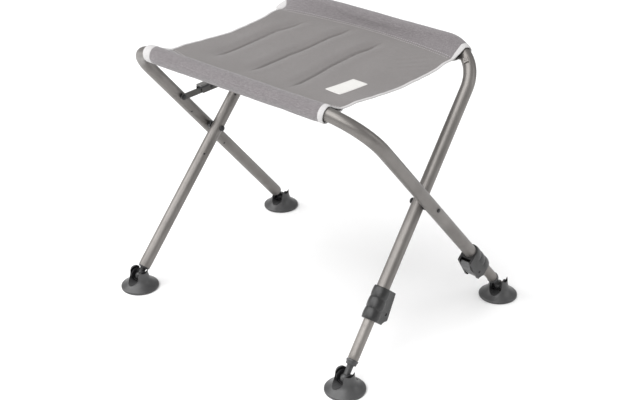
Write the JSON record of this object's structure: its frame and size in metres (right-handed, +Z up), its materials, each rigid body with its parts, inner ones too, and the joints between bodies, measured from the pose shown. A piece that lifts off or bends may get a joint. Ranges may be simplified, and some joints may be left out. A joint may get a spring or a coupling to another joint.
{
  "type": "folding camp stool",
  "caption": "Folding camp stool with crossed U-shaped tube frames, a slung fabric seat, a side brace, telescopic legs and swivelling feet.",
  "frame": {"origin": "centre of the floor contact area, under the crossing of the legs", "axes": "+Z up, X along the seat bars with the telescopic legs at +X, Y across the bars"},
  "size_m": [0.597, 0.465, 0.4728],
  "materials": {
    "tube_metal": "satin grey-champagne anodised",
    "inner_tube_metal": "satin grey-champagne anodised",
    "charcoal_plastic": "semi-matte moulded",
    "collar_plastic": "semi-matte moulded",
    "liner_plastic": "smooth black",
    "dark_steel": "dark grey coated steel",
    "black_steel": "blackened fasteners",
    "tab_plastic": "light grey moulded",
    "sleeve_fabric": "heathered weave",
    "seat_fabric": "plain weave",
    "label_fabric": "woven, near white, blank",
    "bright_screw": "bright"
  },
  "bodies": {
    "frame_a": {"outer_frame_tube": "tube_metal", "seat_sleeve_front": "sleeve_fabric", "collar_a": "collar_plastic", "lever_pin_a": "black_steel", "lever_spring_a": "dark_steel", "pivot_bolt_right": "black_steel", "pivot_bolt_left": "black_steel", "pivot_spacer_right": "liner_plastic", "pivot_spacer_left": "liner_plastic", "foot_stem_al": "charcoal_plastic", "brace_rivet_a": "black_steel"},
    "frame_b": {"inner_frame_tube": "tube_metal", "seat_sleeve_rear": "sleeve_fabric", "collar_b": "collar_plastic", "lever_pin_b": "black_steel", "lever_spring_b": "dark_steel", "pivot_nut_right": "black_steel", "pivot_nut_left": "black_steel", "foot_stem_bl": "charcoal_plastic", "sleeve_clip_right": "charcoal_plastic", "sleeve_clip_left": "charcoal_plastic", "clip_screw_right": "bright_screw", "clip_screw_left": "bright_screw"},
    "seat_front": {"seat_panel_front": "seat_fabric", "seat_label": "label_fabric"},
    "seat_rear": {"seat_panel_rear": "seat_fabric"},
    "brace_link_a": {"brace_link_a": "dark_steel", "brace_knee_rivet": "black_steel"},
    "brace_link_b": {"brace_link_b": "dark_steel", "brace_rivet_b": "black_steel"},
    "brace_lock": {"brace_lock_slide": "dark_steel", "brace_thumb_tab": "tab_plastic"},
    "leg_a": {"inner_leg_tube_a": "inner_tube_metal", "foot_stem_ar": "charcoal_plastic", "leg_guide_a": "charcoal_plastic"},
    "leg_b": {"inner_leg_tube_b": "inner_tube_metal", "foot_stem_br": "charcoal_plastic", "leg_guide_b": "charcoal_plastic"},
    "lever_a": {"lock_lever_a": "charcoal_plastic"},
    "lever_b": {"lock_lever_b": "charcoal_plastic"},
    "foot_al": {"foot_bell_al": "charcoal_plastic", "foot_liner_al": "liner_plastic"},
    "foot_ar": {"foot_bell_ar": "charcoal_plastic", "foot_liner_ar": "liner_plastic"},
    "foot_bl": {"foot_bell_bl": "charcoal_plastic", "foot_liner_bl": "liner_plastic"},
    "foot_br": {"foot_bell_br": "charcoal_plastic", "foot_liner_br": "liner_plastic"}
  },
  "joints": [
    {"name": "fold", "type": "hinge", "parent": "frame_a", "child": "frame_b", "pos_m": [0, 0, 0.25292], "axis": [1, 0, 0], "range_deg": [0, 63]},
    {"name": "seat_front_sag", "type": "hinge", "parent": "frame_a", "child": "seat_front", "pos_m": [0, -0.1765, 0.4578], "axis": [1, 0, 0], "range_deg": [-42, 0.5], "deforming": ["seat_panel_front", "seat_label"]},
    {"name": "seat_rear_sag", "type": "hinge", "parent": "frame_b", "child": "seat_rear", "pos_m": [0, 0.1765, 0.4578], "axis": [1, 0, 0], "range_deg": [-0.5, 42], "deforming": ["seat_panel_rear"]},
    {"name": "brace_hinge", "type": "hinge", "parent": "frame_a", "child": "brace_link_a", "pos_m": [-0.243, -0.066, 0.32953], "axis": [1, 0, 0], "range_deg": [-0.5, 107.8]},
    {"name": "brace_knee", "type": "hinge", "parent": "brace_link_a", "child": "brace_link_b", "pos_m": [-0.243, 0, 0.32953], "axis": [1, 0, 0], "range_deg": [-152, 0.5]},
    {"name": "brace_lock", "type": "slide", "parent": "brace_link_b", "child": "brace_lock", "axis": [0, 1, 0], "range_m": [0, 0.01]},
    {"name": "leg_a_slide", "type": "slide", "parent": "frame_a", "child": "leg_a", "axis": [0.0136, 0.6526, -0.7576], "range_m": [-0.05, 0.08]},
    {"name": "leg_b_slide", "type": "slide", "parent": "frame_b", "child": "leg_b", "axis": [0.0443, -0.652, -0.7569], "range_m": [-0.065, 0.065]},
    {"name": "lever_a", "type": "hinge", "parent": "frame_a", "child": "lever_a", "pos_m": [0.26311, 0.11788, 0.0882], "axis": [0.9999, -0.0089, 0.0103], "range_deg": [0, 25], "stiffness_Nm_per_rad": 0.05, "springref_deg": -11.46},
    {"name": "lever_b", "type": "hinge", "parent": "frame_b", "child": "lever_b", "pos_m": [0.23925, -0.10751, 0.10024], "axis": [-0.999, -0.0289, -0.0336], "range_deg": [0, 25], "stiffness_Nm_per_rad": 0.05, "springref_deg": -11.46},
    {"name": "foot_al_tilt", "type": "hinge", "parent": "frame_a", "child": "foot_al", "pos_m": [-0.2645, 0.1985, 0.0225], "axis": [1, 0, 0], "range_deg": [-13, 94]},
    {"name": "foot_ar_tilt", "type": "hinge", "parent": "leg_a", "child": "foot_ar", "pos_m": [0.2645, 0.1985, 0.0225], "axis": [1, 0, 0], "range_deg": [-13, 94]},
    {"name": "foot_bl_tilt", "type": "hinge", "parent": "frame_b", "child": "foot_bl", "pos_m": [-0.2445, -0.1985, 0.0225], "axis": [1, 0, 0], "range_deg": [-94, 13]},
    {"name": "foot_br_tilt", "type": "hinge", "parent": "leg_b", "child": "foot_br", "pos_m": [0.2445, -0.1985, 0.0225], "axis": [1, 0, 0], "range_deg": [-94, 13]}
  ],
  "couplings": [
    {"joint": "seat_front_sag", "follows": "fold", "ratio": -0.64584},
    {"joint": "seat_rear_sag", "follows": "fold", "ratio": 0.64584},
    {"joint": "brace_hinge", "follows": "fold", "ratio": 1.7024},
    {"joint": "brace_knee", "follows": "fold", "ratio": -2.4048}
  ]
}
